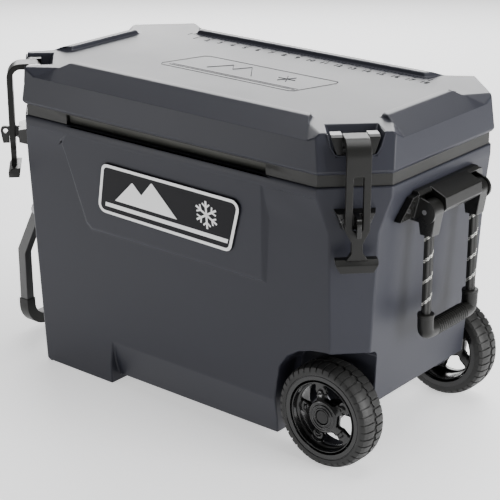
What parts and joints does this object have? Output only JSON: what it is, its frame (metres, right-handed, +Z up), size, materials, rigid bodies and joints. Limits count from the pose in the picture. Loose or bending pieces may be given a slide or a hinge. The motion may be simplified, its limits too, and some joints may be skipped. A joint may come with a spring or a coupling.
{
  "type": "cooler on wheels",
  "caption": "Hard-sided insulated chest cooler with a hinged lid, rubber corner latches, side wheels, a U-shaped tow handle and a rope carry handle.",
  "frame": {"origin": "middle of the base of the whole cooler's box, on the ground", "axes": "+X along the length from the tow handle to the wheels, -Y the front with the badge, +Y the hinge side, +Z up"},
  "size_m": [0.7698, 0.405, 0.493],
  "materials": {
    "shell_grey": "satin moulded polyethylene, fine grain",
    "trim_black": "satin moulded nylon",
    "rubber_black": "matt rubber",
    "tyre_black": "matt tread rubber",
    "rope_black": "braided cord with light flecks",
    "liner_white": "satin white moulded plastic",
    "foam_cream": "rigid insulating foam",
    "badge": "printed satin badge with a white border",
    "tow_satin": "satin powder coat",
    "steel": "zinc-plated steel",
    "screw_dark": "black zinc"
  },
  "bodies": {
    "root": {"outer_shell": "shell_grey", "carry_bracket": "trim_black", "keeper_left": "trim_black", "keeper_right": "trim_black", "body_hinge_left": "trim_black", "body_hinge_right": "trim_black", "tow_bracket_front": "trim_black", "tow_bracket_back": "trim_black", "drain_body": "trim_black", "drain_seal": "rubber_black", "inner_liner": "liner_white", "foam_core": "foam_cream", "badge_plate": "badge", "axle": "steel", "axle_washers": "steel", "push_nuts": "steel", "hinge_pin_left": "steel", "hinge_pin_right": "steel", "tow_pin_front": "steel", "tow_pin_back": "steel", "carry_pin_front": "steel", "carry_pin_back": "steel", "keeper_screws": "screw_dark", "hinge_screws": "screw_dark", "carry_screws": "screw_dark", "tow_screws": "screw_dark"},
    "lid": {"lid_shell": "shell_grey", "lid_foam": "foam_cream", "lid_frame": "trim_black", "lid_gasket": "rubber_black", "lid_hinge_left": "trim_black", "lid_hinge_right": "trim_black", "lid_hinge_screws": "screw_dark", "latch_bracket_left": "trim_black", "latch_bracket_right": "trim_black", "latch_pin_left": "steel", "latch_pin_right": "steel"},
    "latch_left": {"latch_strap_left": "rubber_black"},
    "latch_right": {"latch_strap_right": "rubber_black"},
    "wheel_front": {"wheel_rim_front": "trim_black", "wheel_tyre_front": "tyre_black"},
    "wheel_back": {"wheel_rim_back": "trim_black", "wheel_tyre_back": "tyre_black"},
    "tow_handle": {"tow_frame": "tow_satin", "tow_grip": "rubber_black"},
    "carry_handle": {"carry_knuckle_front": "trim_black", "carry_knuckle_back": "trim_black", "carry_rope_front": "rope_black", "carry_rope_back": "rope_black", "carry_grip": "rubber_black"},
    "drain_plug": {"drain_plug": "trim_black"}
  },
  "joints": [
    {"name": "lid_hinge", "type": "hinge", "parent": "root", "child": "lid", "pos_m": [0.0079, 0.19596, 0.414], "axis": [-1, 0, 0], "range_deg": [0, 95]},
    {"name": "latch_swing_left", "type": "hinge", "parent": "lid", "child": "latch_left", "pos_m": [-0.2892, -0.15014, 0.473], "axis": [-0.7071, 0.7071, 0], "range_deg": [0, 120], "deforming": ["latch_strap_left"]},
    {"name": "latch_swing_right", "type": "hinge", "parent": "lid", "child": "latch_right", "pos_m": [0.305, -0.15014, 0.473], "axis": [-0.7071, -0.7071, 0], "range_deg": [0, 120], "deforming": ["latch_strap_right"]},
    {"name": "wheel_spin_front", "type": "hinge", "parent": "root", "child": "wheel_front", "pos_m": [0.2779, -0.15204, 0.0765], "axis": [0, 1, 0], "continuous": true},
    {"name": "wheel_spin_back", "type": "hinge", "parent": "root", "child": "wheel_back", "pos_m": [0.2779, 0.14596, 0.0765], "axis": [0, 1, 0], "continuous": true},
    {"name": "tow_handle_swing", "type": "hinge", "parent": "root", "child": "tow_handle", "pos_m": [-0.3351, -0.00304, 0.228], "axis": [0, 1, 0], "range_deg": [0, 130]},
    {"name": "carry_handle_swing", "type": "hinge", "parent": "root", "child": "carry_handle", "pos_m": [0.3669, -0.00304, 0.368], "axis": [0, -1, 0], "range_deg": [0, 105]},
    {"name": "drain_plug_turn", "type": "hinge", "parent": "root", "child": "drain_plug", "pos_m": [-0.3221, -0.00304, 0.064], "axis": [1, 0, 0], "range_deg": [0, 90]}
  ]
}
